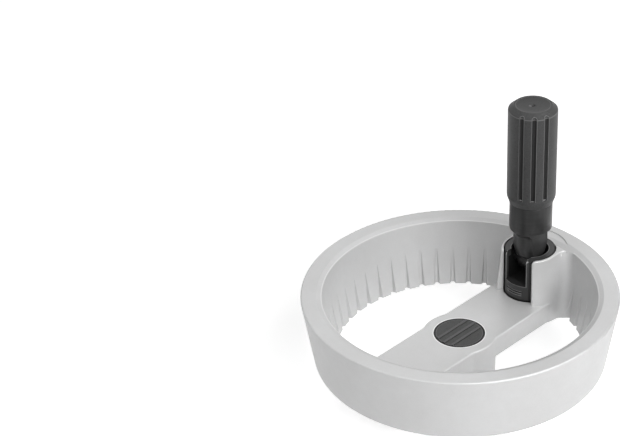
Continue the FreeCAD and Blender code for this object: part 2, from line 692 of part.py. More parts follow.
def cut_ears(body):
    """Clear the two ears beside the slot by a round cut about the pivot."""
    ears = new_sketch(body, "EarOutline", "XZ_Plane", offset="-housing_radius")
    radius = value("ear_clear_radius")
    height = value("pivot_height")
    reach = value("2 * housing_radius")
    low = value("pivot_height + ear_cut_rise")
    turn = math.asin(value("ear_cut_rise / ear_clear_radius"))
    # The cut follows a circle about the pivot and takes the corner outside it.
    circle = Part.Circle(Vector(0, height, 0), Vector(0, 0, 1), radius)
    arc = ears.addGeometry(Part.ArcOfCircle(circle, math.pi / 2, math.pi - turn), False)
    spots = [Vector(0, height + radius, 0), Vector(0, height + reach, 0),
             Vector(-reach, height + reach, 0), Vector(-reach, low, 0),
             Vector(-radius * math.cos(turn), low, 0)]
    lines = [ears.addGeometry(Part.LineSegment(one, other), False)
             for one, other in zip(spots, spots[1:])]
    joins = [((arc, 1), (lines[0], 1))]
    joins += [((one, 2), (other, 1)) for one, other in zip(lines, lines[1:])]
    joins += [((lines[-1], 2), (arc, 2))]
    for one, other in joins:
        ears.addConstraint(Sketcher.Constraint("Coincident", one[0], one[1], other[0], other[1]))
    place_point(ears, arc, 3, "0", "pivot_height")
    index = ears.addConstraint(Sketcher.Constraint("Radius", arc, radius))
    bind(ears, "Constraints[%d]" % index, "ear_clear_radius")
    ears.addConstraint(Sketcher.Constraint("PointOnObject", arc, 1, -2))
    place_point(ears, lines[1], 1, "0", "pivot_height + 2 * housing_radius")
    place_point(ears, lines[2], 1, "-2 * housing_radius", "pivot_height + 2 * housing_radius")
    ears.addConstraint(Sketcher.Constraint("Vertical", lines[2]))
    ears.addConstraint(Sketcher.Constraint("Horizontal", lines[3]))
    index = ears.addConstraint(Sketcher.Constraint("DistanceY", -1, 1, lines[3], 1, low))
    bind(ears, "Constraints[%d]" % index, "pivot_height + ear_cut_rise")
    pocket(body, ears, "EarClearance", "2 * housing_radius", forwards=True)


def cut_notch(body):
    """Cut the finger-nail notch under the sill and leave a bar across it."""
    high = "(sill_top - notch_drop)"
    low = "(%s - notch_height)" % high
    bar = "(%s - notch_height / 2)" % high
    for name, floor, ceiling, width in (
            ("NotchHigh", "%s + notch_rib / 2" % bar, high, "notch_width"),
            ("NotchLow", low, "%s - notch_rib / 2" % bar, "notch_low_width")):
        sketch = new_sketch(body, name + "Outline", "YZ_Plane",
                            offset="-housing_radius")
        draw_rectangle(sketch, "-(%s) / 2" % width, "(%s) / 2" % width, floor, ceiling)
        pocket(body, sketch, name, "notch_depth", forwards=True)


def make_pivot_pin():
    """The steel cross pin, pressed into the housing and trapped by the casting."""
    body = new_body("pivot_pin", at_handle=True)
    reach = "(housing_radius - pin_inset)"
    sketch = new_sketch(body, "PinOutline", "XZ_Plane", offset="-" + reach)
    draw_circle(sketch, "pin_radius", "0", "pivot_height")
    pad(body, sketch, "Pin", "2 * " + reach)
    limit = value(reach)
    round_edges(body, "PinChamfer", "head_chamfer",
                lambda edge: near(abs(middle(edge).y), limit) and edge.isClosed(),
                kind="PartDesign::Chamfer")
    return body


def make_grip_neck():
    """The folding stem: a collar, a tapered neck with two flats, and a tongue on the pin."""
    body = new_body("grip_neck", at_handle=True)
    revolve(body, "Stem", [
        ("0", "neck_end"),
        ("neck_end_radius - neck_end_chamfer", "neck_end"),
        ("neck_end_radius", "neck_end + neck_end_chamfer"),
        ("neck_radius", "rim_top + neck_taper_top"),
        ("neck_radius", "rim_top + collar_chamfer_start"),
        ("collar_radius", "rim_top + collar_start"),
        ("collar_radius", "collar_face"),
        ("0", "collar_face"),
    ])
    round_edges(body, "NeckRound", "neck_round",
                lambda edge: is_ring(edge, value("neck_radius"),
                                     value("rim_top + collar_chamfer_start")))
    round_edges(body, "CollarRound", "collar_round",
                lambda edge: is_ring(edge, value("collar_radius"), value("rim_top + collar_start")))
    round_edges(body, "CollarTopRound", "sleeve_gap",
                lambda edge: is_ring(edge, value("collar_radius"), value("collar_face")))
    reach = "(collar_radius + %s)" % OVERRUN
    for side, low, high in (("Left", "neck_flat_width / 2", reach),
                            ("Right", "-" + reach, "-neck_flat_width / 2")):
        flat = new_sketch(body, "Flat%sOutline" % side, offset="neck_end")
        draw_rectangle(flat, "-" + reach, reach, low, high)
        pocket(body, flat, "Flat" + side, "rim_top + neck_flat_top - neck_end", forwards=True)
    add_tongue(body)
    bore = new_sketch(body, "SpindleBoreOutline", offset="collar_face")
    draw_circle(bore, "spindle_radius")
    pocket(body, bore, "SpindleBore", "spindle_depth")
    return body


def add_tongue(body):
    """Add the round-ended tongue under the neck, with the hole for the pivot pin."""
    sketch = new_sketch(body, "TongueOutline", "XZ_Plane", offset="-tongue_width / 2")
    radius = value("tongue_radius")
    height = value("pivot_height")
    top = value("neck_end + neck_end_chamfer")
    circle = Part.Circle(Vector(0, height, 0), Vector(0, 0, 1), radius)
    arc = sketch.addGeometry(Part.ArcOfCircle(circle, math.pi, 2 * math.pi), False)
    right = sketch.addGeometry(
        Part.LineSegment(Vector(radius, height, 0), Vector(radius, top, 0)), False)
    upper = sketch.addGeometry(
        Part.LineSegment(Vector(radius, top, 0), Vector(-radius, top, 0)), False)
    left = sketch.addGeometry(
        Part.LineSegment(Vector(-radius, top, 0), Vector(-radius, height, 0)), False)
    for one, other in (((arc, 2), (right, 1)), ((right, 2), (upper, 1)),
                       ((upper, 2), (left, 1)), ((left, 2), (arc, 1))):
        sketch.addConstraint(Sketcher.Constraint("Coincident", one[0], one[1], other[0], other[1]))
    place_point(sketch, arc, 3, "0", "pivot_height")
    sketch.addConstraint(Sketcher.Constraint("Vertical", right))
    sketch.addConstraint(Sketcher.Constraint("Vertical", left))
    sketch.addConstraint(Sketcher.Constraint("Horizontal", upper))
    index = sketch.addConstraint(Sketcher.Constraint("Radius", arc, radius))
    bind(sketch, "Constraints[%d]" % index, "tongue_radius")
    sketch.addConstraint(Sketcher.Constraint("DistanceY", arc, 3, arc, 1, 0))
    index = sketch.addConstraint(Sketcher.Constraint("DistanceY", -1, 1, upper, 1, top))
    bind(sketch, "Constraints[%d]" % index, "neck_end + neck_end_chamfer")
    pad(body, sketch, "Tongue", "tongue_width")
    hole = new_sketch(body, "PivotHoleOutline", "XZ_Plane", offset="-tongue_width / 2")
    draw_circle(hole, "pin_radius + pin_clearance", "0", "pivot_height")
    pocket(body, hole, "PivotHole", "tongue_width", forwards=True)


def make_grip_spindle():
    """The steel spindle that carries the sleeve, with a hexagon socket in its head."""
    body = new_body("grip_spindle", at_handle=True)
    low = "(collar_face - spindle_depth + spindle_end_gap)"
    revolve(body, "Shank", [
        ("0", low),
        ("spindle_radius - spindle_chamfer", low),
        ("spindle_radius", low + " + spindle_chamfer"),
        ("spindle_radius", "head_base"),
        ("spindle_head_radius", "head_base"),
        ("spindle_head_radius", "head_top - head_chamfer"),
        ("spindle_head_radius - head_chamfer", "head_top"),
        ("0", "head_top"),
    ])
    socket = new_sketch(body, "SocketOutline", offset="head_top")
    draw_hexagon(socket, "spindle_key")
    pocket(body, socket, "Socket", "socket_depth")
    return body


def make_grip_sleeve():
    """The revolving sleeve: two groups of flutes, shoulders at both ends, stepped bore."""
    body = new_body("grip_sleeve", at_handle=True)
    bore = "sleeve_bore"
    washer_room = "(washer_radius + washer_gap)"
    revolve(body, "Sleeve", [
        (bore, "foot_washer_top + washer_gap"),
        (washer_room, "foot_washer_top + washer_gap"),
        (washer_room, "sleeve_start"),
        ("collar_radius + sleeve_foot_step", "sleeve_start"),
        ("sleeve_radius - sleeve_softening / 4", "sleeve_start + sleeve_foot - sleeve_softening"),
        ("sleeve_radius", "sleeve_start + sleeve_foot + sleeve_softening"),
        ("sleeve_radius", "grip_end - sleeve_shoulder - sleeve_softening"),
        ("sleeve_radius - sleeve_softening / 2", "grip_end - sleeve_shoulder + sleeve_softening"),
        ("cap_radius + cap_gap + sleeve_softening", "grip_end"),
        ("cap_radius + cap_gap", "grip_end"),
        ("cap_radius + cap_gap", "cap_seat"),
        ("head_recess_radius", "cap_seat"),
        ("head_recess_radius", "head_seat"),
        (bore, "head_seat"),
    ])
    axis_radius = "(sleeve_radius + flute_radius - flute_depth)"
    start = "(sleeve_start + flute_start)"
    for number, turn in enumerate(("-flute_pitch", "0", "flute_pitch")):
        sketch = new_sketch(body, "FluteOutline%d" % number, offset=start,
                            turn="flute_angle + (%s)" % turn)
        draw_circle(sketch, "flute_radius", axis_radius)
        cut = pocket(body, sketch, "Flute%d" % number, "grip_end - %s" % start, forwards=True)
        polar_pattern(body, cut, "FlutePair%d" % number, "360", "2")
    low = value(start)
    round_edges(body, "FluteEndRound", "flute_end_round",
                lambda edge: near(middle(edge).z, low) and edge.Length < 4 * value("flute_radius")
                and distance_from_axis(middle(edge)) < value("sleeve_radius - flute_depth / 2"))
    return body


def make_grip_end_cap():
    """The snap-in end cap, dished, with a small dimple and a skirt."""
    body = new_body("grip_end_cap", at_handle=True)
    revolve(body, "Cap", [
        ("0", "cap_seat"),
        ("head_recess_radius - cap_gap - cap_skirt_wall", "cap_seat"),
        ("head_recess_radius - cap_gap - cap_skirt_wall", "cap_seat - cap_skirt_height"),
        ("head_recess_radius - cap_gap", "cap_seat - cap_skirt_height"),
        ("head_recess_radius - cap_gap", "cap_seat"),
        ("cap_radius", "cap_seat"),
        ("cap_radius", "grip_end - cap_sink"),
        ("cap_radius - cap_rim", "grip_end - cap_sink"),
        ("cap_radius - cap_rim - cap_slope", "grip_end - cap_dish / 2"),
        ("cap_radius / 2", "grip_end - cap_dish + cap_sink"),
        ("cap_dimple_radius", "grip_end - cap_dish"),
        ("cap_dimple_radius - cap_dimple_depth", "grip_end - cap_dish - cap_dimple_depth"),
        ("0", "grip_end - cap_dish - cap_dimple_depth"),
    ])
    return body


def make_ring(name, inner, outer, low, thickness):
    """A flat washer about the grip's axis."""
    body = new_body(name, at_handle=True)
    sketch = new_sketch(body, "RingOutline", offset=low)
    draw_circle(sketch, outer)
    draw_circle(sketch, inner)
    pad(body, sketch, "Ring", thickness)
    return body


def make_brake_washer(name, sign):
    """A washer on the pivot pin, beside the stem's tongue."""
    body = new_body(name, at_handle=True)
    sketch = new_sketch(body, "WasherOutline", "XZ_Plane", offset="%s * brake_face" % -sign)
    draw_circle(sketch, "brake_washer_radius", "0", "pivot_height")
    draw_circle(sketch, "pin_radius + pin_clearance", "0", "pivot_height")
    pad(body, sketch, "Washer", "brake_washer_thickness", backwards=(sign > 0))
    return body


def make_brake_spring(name, sign):
    """A coil spring on the pivot pin, between its washer and the housing's cheek."""
    body = new_body(name, at_handle=True)
    start = "(spring_face + spring_wire / 2)"
    length = "(cavity_width / 2 - spring_face - spring_wire)"
    sketch = new_sketch(body, "WireOutline", "YZ_Plane")
    bind(sketch, "AttachmentOffset.Base.y", "pivot_height")
    doc.recompute()
    draw_circle(sketch, "spring_wire / 2", "%d * %s" % (sign, start), "spring_radius")
    coil = body.newObject("PartDesign::AdditiveHelix", "Coil")
    coil.Profile = sketch
    coil.ReferenceAxis = (sketch, ["H_Axis"])
    coil.Mode = 2
    coil.Reversed = sign < 0
    bind(coil, "Height", length)
    bind(coil, "Turns", "spring_turns")
    doc.recompute()
    return body


def make_housing_screw(name, sign):
    """A socket screw that holds the housing from the rear of the spoke."""
    body = new_body(name, at_handle=True)
    bind(body, "Placement.Base.y", "%d * screw_spacing / 2" % sign)
    seat = "(rim_rear + screw_recess)"
    low = "(%s - screw_head_height)" % seat
    high = "(housing_floor + screw_grip - screw_end_gap)"
    revolve(body, "Screw", [
        ("0", low),
        ("screw_head_radius - head_chamfer", low),
        ("screw_head_radius", low + " + head_chamfer"),
        ("screw_head_radius", seat),
        ("screw_radius", seat),
        ("screw_radius", high + " - head_chamfer"),
        ("screw_radius - head_chamfer", high),
        ("0", high),
    ])
    socket = new_sketch(body, "SocketOutline", offset=low)
    draw_hexagon(socket, "screw_key")
    pocket(body, socket, "Socket", "screw_socket", forwards=True)
    return body


def check_document():
    """Stop when any object of the document has failed."""
    for thing in doc.Objects:
        state = [word for word in thing.State if word in ("Invalid", "Error")]
        if state:
            raise ValueError("%s is %s" % (thing.Name, state))


def write_parts(parts):
    """Check each sub-part's solid and write it to its own STEP file."""
    os.makedirs("parts", exist_ok=True)
    for part in parts:
        shape = part.Shape
        if shape.isNull() or not shape.isValid() or not shape.Solids:
            raise ValueError("%s has no valid solid" % part.Label)
        shape.exportStep(os.path.join("parts", part.Label + ".step"))
        print("%-22s volume %10.1f mm3, solids %d" % (part.Label, shape.Volume, len(shape.Solids)))


def make_all():
    """Make every sub-part of the handwheel."""
    parts = [
        make_wheel_body(),
        make_hub_cover(),
        make_grip_housing(),
        make_pivot_pin(),
        make_grip_neck(),
        make_grip_spindle(),
        make_grip_sleeve(),
        make_grip_end_cap(),
        make_ring("lower_thrust_washer", "sleeve_bore", "washer_radius",
                  "collar_face", "washer_thickness"),
        make_ring("upper_thrust_washer", "sleeve_bore", "washer_radius",
                  "head_base - washer_thickness", "washer_thickness"),
    ]
    for side, sign in (("left", 1), ("right", -1)):
        parts.append(make_brake_washer("brake_washer_" + side, sign))
        parts.append(make_brake_spring("brake_spring_" + side, sign))
        parts.append(make_housing_screw("housing_screw_" + side, sign))
    return parts


if __name__ == "__main__":
    finished = make_all()
    check_document()
    write_parts(finished)
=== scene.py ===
import functools
import json
import math

import bpy
from mathutils import Matrix, Vector

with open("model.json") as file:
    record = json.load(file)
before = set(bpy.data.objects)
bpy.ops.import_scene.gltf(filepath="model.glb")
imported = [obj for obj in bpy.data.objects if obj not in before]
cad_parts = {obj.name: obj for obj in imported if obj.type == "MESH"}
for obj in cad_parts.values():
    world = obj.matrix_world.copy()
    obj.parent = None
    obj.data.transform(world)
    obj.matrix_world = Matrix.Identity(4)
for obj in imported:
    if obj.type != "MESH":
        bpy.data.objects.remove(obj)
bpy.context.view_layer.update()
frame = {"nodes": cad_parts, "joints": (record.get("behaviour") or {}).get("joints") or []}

NODES = frame["nodes"]

# Camera of the photograph: a 620 by 436 frame, its place and its two axes in the part's frame.
FRAME_WIDTH_PX = 620
FOCAL_PX = 1930
SENSOR_MM = 36
CLIP_NEAR = 0.01
CLIP_FAR = 20
CAMERA_PLACE = (-0.61206, -0.53711, 0.58010)
CAMERA_RIGHT = (0.70717, -0.70591, -0.04000)
CAMERA_UP = (0.38660, 0.33867, 0.85781)

# The places below are in metres, in the part's frame. The grip's axis crosses the pivot on
# which it folds.
PIVOT = next(joint["pos_m"] for joint in frame["joints"] if joint["name"] == "grip_fold")
GRIP_X = PIVOT[0]
PIVOT_Z = PIVOT[2]

# The soft steps of the masks, how far a mask reaches past the face that it picks out, and
# the width of a painted highlight line along a black edge.
SOFT = 0.00015
FINE_SOFT = 0.00005
FINEST_SOFT = 0.00004
WIDE_SOFT = 0.00035
SPOT_SOFT = 0.0003
NEAR = 0.0001
EDGE_WIDTH = 0.0003

# Casting: the faces of spokes and boss, the housing's pocket, the cover's seat over the
# screw's recess, and the inner edge of the rim's lip. Both floors lie just under the solid's.
# Pocket and seat get painted shade; the seat's edge and the lip's edge get painted highlight
# lines CAST_EDGE_WIDTH wide.
SPOKE_TOP = 0.0242
BOSS_TOP = 0.0495
BOSS_ROUND = 0.0007
BOSS_HALF_Y = 0.0200
POCKET_RADIUS = 0.0136
POCKET_FLOOR = 0.0199
SEAT_RADIUS = 0.0131
RECESS_FLOOR = 0.0171
LIP_RADIUS = 0.0696
LIP_LOW = 0.0486
CAST_EDGE_WIDTH = 0.0004

# Hub cover: the tops and flanks of its ribs, painted with highlight and shade, and the radius
# at which its border of painted shade begins.
RIB_TOP = 0.0247
FLANK_LOW = 0.02426
FLANK_HIGH = 0.02450
COVER_BORDER = 0.01195

# Grip housing. Distances along X count from the grip's axis, negative towards the hub. Its
# outer skin is all that lies past HOUSING_EDGE from that axis, with painted shade along it
# at the left and right.
HOUSING_RADIUS = 0.0131
HOUSING_EDGE = 0.01245
HOUSING_LEFT = 0.0069
HOUSING_RIGHT = -0.0080
HOUSING_FRONT = -0.0085
FOOT_TOP = 0.0251
CAVITY_HALF_X = 0.0090
CAVITY_HALF_Y = 0.0082
CAVITY_LOW = 0.0315
CAVITY_HIGH = 0.0455
HOLE_RADIUS = 0.0097
EAR_RADIUS = 0.0124
EAR_LOW = 0.0449
EAR_FRONT = -0.0040
SLOT_HALF_Y = 0.0067
SILL_TOP = 0.0332
NOTCH_Z = 0.0286
NOTCH_HALF_Y = 0.0047
NOTCH_HALF_Z = 0.0011
BAR_HALF_Z = 0.00025

# Neck: the height up to which it gets painted shade where it sits in the housing, and how
# far that shade fades out above.
SHADE_TOP = 0.0470
SHADE_FADE = 0.0010

# Grip sleeve and end cap. Each turn, in degrees, is the direction of a flute and its opposite.
# The flutes' floors inside FLUTE_FLOOR get painted shade; their lower ends, their edges and the
# shoulder get painted highlights; the cap gets a painted highlight line at CAP_RIM and painted
# shade at the dimple.
FLUTE_LOW = 0.0835
FLUTE_HIGH = 0.1300
FLUTE_END_HEIGHT = 0.0004
FLUTE_FLOOR = 0.0118
FLUTE_AXIS = 0.01265
FLUTE_RADIUS = 0.00115
FLUTE_TURNS = (-167, -137, -107)
SHOULDER_Z = 0.1304
CAP_RIM = 0.0088
GATE_PLACE = (-0.0009, 0.0009)
GATE_RADIUS = 0.0007
DIMPLE_PLACE = (0.0003, -0.0003)
DIMPLE_RADIUS = 0.0010

# Rounded edges: the bevel's limit in degrees, and the distance at which points are joined.
BEVEL_ANGLE = 35
BEVEL_SEGMENTS = 2
WELD_DISTANCE = 0.000002

# Base colours, as grey levels, that several finishes share: a near black for painted shade
# and a light grey for painted highlight lines along edges.
SHADE_TONE = 0.004
HIGHLIGHT_TONE = 0.16

# Floor: half its side in metres, its base colour, and the strength at which it is seen.
FLOOR_HALF = 4.0
FLOOR_TONE = 0.75
FLOOR_ROUGHNESS = 0.9
FLOOR_LIFT = 0.68

# Soft boxes: name, azimuth and elevation as seen from the wheel, and power in watts.
LAMP_TARGET = (0, 0, 0.04)
LAMP_DISTANCE = 1.1
LAMP_SIZE = 0.6
LAMPS = [
    ("key", -113.7, 35, 4.4),
    ("key_right", -88.7, 30, 4.6),
    ("key_high", -88.7, 55, 1.8),
    ("side", -43.7, 50, 2.1),
    ("left", 121.3, 30, 1.8),
    ("left_high", 171.3, 60, 1.7),
    ("back", 41.3, 40, 0.5),
]


def add_camera():
    """Place the camera where the photograph was taken from."""
    right = Vector(CAMERA_RIGHT).normalized()
    up = Vector(CAMERA_UP)
    up = (up - up.dot(right) * right).normalized()
    back = right.cross(up)
    data = bpy.data.cameras.new("camera")
    data.sensor_width = SENSOR_MM
    data.lens = FOCAL_PX / FRAME_WIDTH_PX * SENSOR_MM
    data.clip_start = CLIP_NEAR
    data.clip_end = CLIP_FAR
    camera = bpy.data.objects.new("camera", data)
    axes = Matrix((right, up, back)).transposed().to_4x4()
    camera.matrix_world = Matrix.Translation(Vector(CAMERA_PLACE)) @ axes
    bpy.context.scene.collection.objects.link(camera)
    bpy.context.scene.camera = camera


class Graph:
    """A node material with short calls for the nodes that the finishes share.

    A mask is an output that is 1 in some place of the part and 0 elsewhere.
    """

    def __init__(self, name):
        self.material = bpy.data.materials.new(name)
        self.material.use_nodes = True
        self.tree = self.material.node_tree
        self.shader = self.tree.nodes["Principled BSDF"]
        self.place = self.add("ShaderNodeTexCoord").outputs["Object"]

    def add(self, kind, inputs=None, **settings):
        """Add a node; inputs maps a socket to a number, a colour or another node's output."""
        node = self.tree.nodes.new(kind)
        for key, setting in settings.items():
            setattr(node, key, setting)
        for key, given in (inputs or {}).items():
            self.feed(node.inputs[key], given)
        return node

    def feed(self, socket, given):
        """Link another node's output to a socket, or set the socket's own number or colour."""
        if isinstance(given, bpy.types.NodeSocket):
            self.tree.links.new(given, socket)
        else:
            socket.default_value = given

    def set(self, **sockets):
        """Feed the shader's sockets, named with underscores for blanks; return the material."""
        for key, given in sockets.items():
            self.feed(self.shader.inputs[key.replace("_", " ")], given)
        return self.material

    def noise(self, scale, detail=2.0, place=None):
        """Return a noise with a mean of about 0.5; scale is in waves for each metre."""
        return self.add("ShaderNodeTexNoise", {
            "Vector": place or self.place, "Scale": scale, "Detail": detail}).outputs["Fac"]

    def stretch(self, x, y, z):
        """Scale the object's coordinates, to draw a pattern out along an axis."""
        return self.add("ShaderNodeMapping", {
            "Vector": self.place, "Scale": (x, y, z)}).outputs["Vector"]

    def remap(self, given, low, high, to_low, to_high):
        """Bring the range from low to high onto another one, and stop at its ends."""
        return self.add("ShaderNodeMapRange", {
            "Value": given, "From Min": low, "From Max": high,
            "To Min": to_low, "To Max": to_high}).outputs["Result"]

    def math(self, operation, one, other=0.0):
        """Return the result of one operation on two numbers or outputs."""
        return self.add("ShaderNodeMath", {0: one, 1: other}, operation=operation).outputs[0]

    def axes(self):
        """Return the object's three coordinates."""
        parts = self.add("ShaderNodeSeparateXYZ", {"Vector": self.place}).outputs
        return parts["X"], parts["Y"], parts["Z"]

    def grip_axes(self):
        """Return the three coordinates with the grip's axis as their origin in X and Y."""
        x, y, z = self.axes()
        return self.math("SUBTRACT", x, GRIP_X), y, z

    def reach(self, across, along):
        """Return the length of a vector of two coordinates."""
        squares = [self.math("MULTIPLY", one, one) for one in (across, along)]
        return self.math("SQRT", self.math("ADD", *squares))

    def below(self, given, limit, soft=SOFT):
        """Return a mask of the values below a limit, which fades out above it."""
        return self.remap(given, limit, limit + soft, 1, 0)

    def above(self, given, limit, soft=SOFT):
        """Return a mask of the values above a limit, which fades out below it."""
        return self.remap(given, limit - soft, limit, 0, 1)

    def within(self, given, low, high, soft=SOFT):
        """Return a mask of the values between two limits."""
        return self.both(self.above(given, low, soft), self.below(given, high, soft))

    def spot(self, across, along, place, radius):
        """Return a mask of the places within a radius of one place."""
        from_place = self.reach(self.math("SUBTRACT", across, place[0]),
                                self.math("SUBTRACT", along, place[1]))
        return self.below(from_place, radius, SPOT_SOFT)

    def both(self, *masks):
        """Return the part that all the masks share."""
        return functools.reduce(lambda one, other: self.math("MULTIPLY", one, other), masks)

    def either(self, *masks):
        """Return what at least one of the masks covers."""
        return functools.reduce(lambda one, other: self.math("MAXIMUM", one, other), masks)

    def mix(self, share, one, other):
        """Mix a share of the second colour into the first."""
        node = self.add("ShaderNodeMix", data_type="RGBA")
        self.feed(node.inputs[0], share)
        self.feed(node.inputs[6], one)
        self.feed(node.inputs[7], other)
        return node.outputs[2]

    def bump(self, height, strength, distance, normal=None):
        """Return a normal that is roughened by a height, on top of another normal."""
        inputs = {"Height": height, "Strength": strength, "Distance": distance}
        if normal:
            inputs["Normal"] = normal
        return self.add("ShaderNodeBump", inputs).outputs["Normal"]


class HousingGraph(Graph):
    """The housing's material, with masks of its painted shade and its painted highlights."""

    def __init__(self, name):
        super().__init__(name)
        self.aside, self.y, self.z = self.grip_axes()
        self.beside = self.math("ABSOLUTE", self.y)
        self.radius = self.reach(self.aside, self.y)
        self.front = self.below(self.aside, HOUSING_FRONT)
        self.skin = self.both(self.above(self.radius, HOUSING_EDGE), self.front)

    def inside_shade(self):
        """Return a mask of the painted shade in the cavity, in the ring's hole and on the top of
        the slot's sill.
        """
        cavity = self.both(self.below(self.math("ABSOLUTE", self.aside), CAVITY_HALF_X),
                           self.below(self.beside, CAVITY_HALF_Y),
                           self.within(self.z, CAVITY_LOW - SOFT, CAVITY_HIGH))
        hole = self.both(self.below(self.radius, HOLE_RADIUS),
                         self.below(self.z, BOSS_TOP - 3 * SOFT))
        sill = self.both(self.below(self.beside, SLOT_HALF_Y - SOFT), self.front,
                         self.within(self.z, SILL_TOP - FINE_SOFT, SILL_TOP + SOFT, FINE_SOFT))
        return self.either(cavity, hole, sill)

    def outline(self):
        """Return a mask of the painted shade along the border: the housing's sides, its top edge
        and its foot.
        """
        sides = self.both(self.skin, self.either(self.above(self.y, HOUSING_LEFT),
                                                 self.below(self.y, HOUSING_RIGHT)))
        top = self.both(self.above(self.radius, HOUSING_EDGE),
                        self.above(self.z, BOSS_TOP - BOSS_ROUND))
        foot = self.both(self.below(self.z, FOOT_TOP), self.front)
        return self.either(sides, top, foot)

    def edge_highlights(self):
        """Return a mask of the painted highlight lines on the edges of the slot, its sill and the
        ring's hole.
        """
        slot = self.both(self.within(self.beside, SLOT_HALF_Y, SLOT_HALF_Y + EDGE_WIDTH),
                         self.above(self.z, SILL_TOP - EDGE_WIDTH), self.skin)
        sill = self.both(self.below(self.beside, SLOT_HALF_Y + EDGE_WIDTH), self.skin,
                         self.within(self.z, SILL_TOP - EDGE_WIDTH, SILL_TOP))
        hole = self.both(self.within(self.radius, HOLE_RADIUS, HOLE_RADIUS + EDGE_WIDTH),
                         self.above(self.z, BOSS_TOP - EDGE_WIDTH))
        return self.either(slot, sill, hole)

    def ears(self):
        """Return a mask of the two ears' curved faces, which lie round the pivot, for a painted
        highlight.
        """
        from_pivot = self.reach(self.aside, self.math("SUBTRACT", self.z, PIVOT_Z))
        return self.both(self.within(from_pivot, EAR_RADIUS - NEAR, EAR_RADIUS + NEAR),
                         self.above(self.z, EAR_LOW), self.below(self.aside, EAR_FRONT))

    def notch(self):
        """Return masks of the painted highlights on the notch's edges and its bar, and of the
        painted shade in its recess.
        """
        across = self.math("ABSOLUTE", self.math("SUBTRACT", self.z, NOTCH_Z))
        place = self.both(self.below(self.beside, NOTCH_HALF_Y), self.front)
        edges = self.within(across, NOTCH_HALF_Z, NOTCH_HALF_Z + EDGE_WIDTH, NEAR)
        bar = self.below(across, BAR_HALF_Z, NEAR)
        face = self.above(self.radius, HOUSING_RADIUS - 2 * NEAR)
        recess = self.both(self.below(across, NOTCH_HALF_Z - NEAR),
                           self.below(self.radius, HOUSING_RADIUS - 3 * NEAR))
        return self.both(self.either(edges, bar), face, place), self.both(recess, place)


def grey(level, tint=0.0):
    """A grey, a little cooler with a positive tint."""
    return (level * (1 - tint), level, level * (1 + tint), 1)


def cast_aluminium():
    """Fine-blasted casting: soft sheen, faint clouds, a fine grain, painted shade in the
    housing's pocket and the cover's seat, and painted highlight lines on the seat's edge and the
    rim's lip.
    """
    graph = Graph("cast_aluminium")
    clouds = graph.noise(28.0, 4.0)
    patches = graph.noise(190.0, 3.0)
    grain = graph.noise(2100.0, 2.0)
    skin = graph.noise(620.0, 3.0)
    tone = graph.mix(graph.remap(clouds, 0.35, 0.65, 0, 1), grey(0.60), grey(0.64, 0.004))
    tone = graph.mix(graph.remap(patches, 0.3, 0.7, 0, 0.35), tone, grey(0.57))
    tone = graph.mix(graph.remap(grain, 0.25, 0.75, 0, 0.3), tone, grey(0.70))
    x, y, z = graph.axes()
    from_hub = graph.reach(x, y)
    from_grip = graph.reach(graph.math("SUBTRACT", x, GRIP_X), y)
    pocket = graph.both(graph.below(from_grip, POCKET_RADIUS),
                        graph.within(z, POCKET_FLOOR, BOSS_TOP - BOSS_ROUND))
    seat = graph.both(graph.below(from_hub, SEAT_RADIUS),
                      graph.within(z, RECESS_FLOOR, SPOKE_TOP - SOFT))
    seat_highlight = graph.both(graph.within(from_hub, SEAT_RADIUS, SEAT_RADIUS + CAST_EDGE_WIDTH),
                           graph.within(z, SPOKE_TOP - SOFT, SPOKE_TOP + SOFT))
    beside_boss = graph.either(graph.above(graph.math("ABSOLUTE", y), BOSS_HALF_Y),
                               graph.below(x, 0.0))
    lip_highlight = graph.both(graph.within(from_hub, LIP_RADIUS - CAST_EDGE_WIDTH, LIP_RADIUS),
                          graph.above(z, LIP_LOW), beside_boss)
    # Painted highlight lines on the seat's edge and the inner edge of the rim's lip.
    tone = graph.mix(seat_highlight, tone, grey(0.92))
    tone = graph.mix(lip_highlight, tone, grey(0.74))
    # Painted shade on the walls of the housing's pocket and the cover's seat.
    tone = graph.mix(graph.either(pocket, seat), tone, grey(0.02))
    rough = graph.remap(skin, 0.3, 0.7, 0.40, 0.50)
    normal = graph.bump(grain, 0.30, 0.00006)
    normal = graph.bump(skin, 0.25, 0.00010, normal)
    return graph.set(Base_Color=tone, Metallic=0.30, Roughness=rough, Normal=normal)


def black_plastic(name, level, rough_low, rough_high, marks):
    """Moulded polyamide with a fine eroded texture; marks gives places of painted highlight and
    painted shade, and the cap's pale gate mark.
    """
    graph = Graph(name)
    clouds = graph.noise(45.0, 3.0)
    grain = graph.noise(1500.0, 2.0)
    specks = graph.noise(900.0, 2.0)
    tone = graph.mix(graph.remap(clouds, 0.35, 0.65, 0, 1), grey(level), grey(level * 1.22, 0.01))
    tone = graph.mix(graph.remap(grain, 0.45, 0.75, 0, 0.5), tone, grey(level * 1.9))
    tone = graph.mix(graph.remap(specks, 0.30, 0.45, 0.35, 0), tone, grey(level * 0.4))
    for mask, mark in marks(graph):
        tone = graph.mix(mask, tone, grey(mark))
    rough = graph.remap(grain, 0.3, 0.7, rough_low, rough_high)
    normal = graph.bump(grain, 0.45, 0.00008)
    return graph.set(Base_Color=tone, Roughness=rough, Normal=normal, Specular_IOR_Level=0.3)


def flute_edge(graph, aside, y, turn):
    """Return a mask of the edges of the flute at a turn in degrees, and of its opposite, where
    painted highlight lines go.
    """
    cosine = math.cos(math.radians(turn))
    sine = math.sin(math.radians(turn))
    along = graph.math("ADD", graph.math("MULTIPLY", aside, cosine),
                       graph.math("MULTIPLY", y, sine))
    across = graph.math("SUBTRACT", graph.math("MULTIPLY", y, cosine),
                        graph.math("MULTIPLY", aside, sine))
    from_axis = graph.reach(
        graph.math("SUBTRACT", graph.math("ABSOLUTE", along), FLUTE_AXIS), across)
    return graph.within(from_axis, FLUTE_RADIUS + FINE_SOFT, FLUTE_RADIUS + EDGE_WIDTH,
                        FINEST_SOFT)


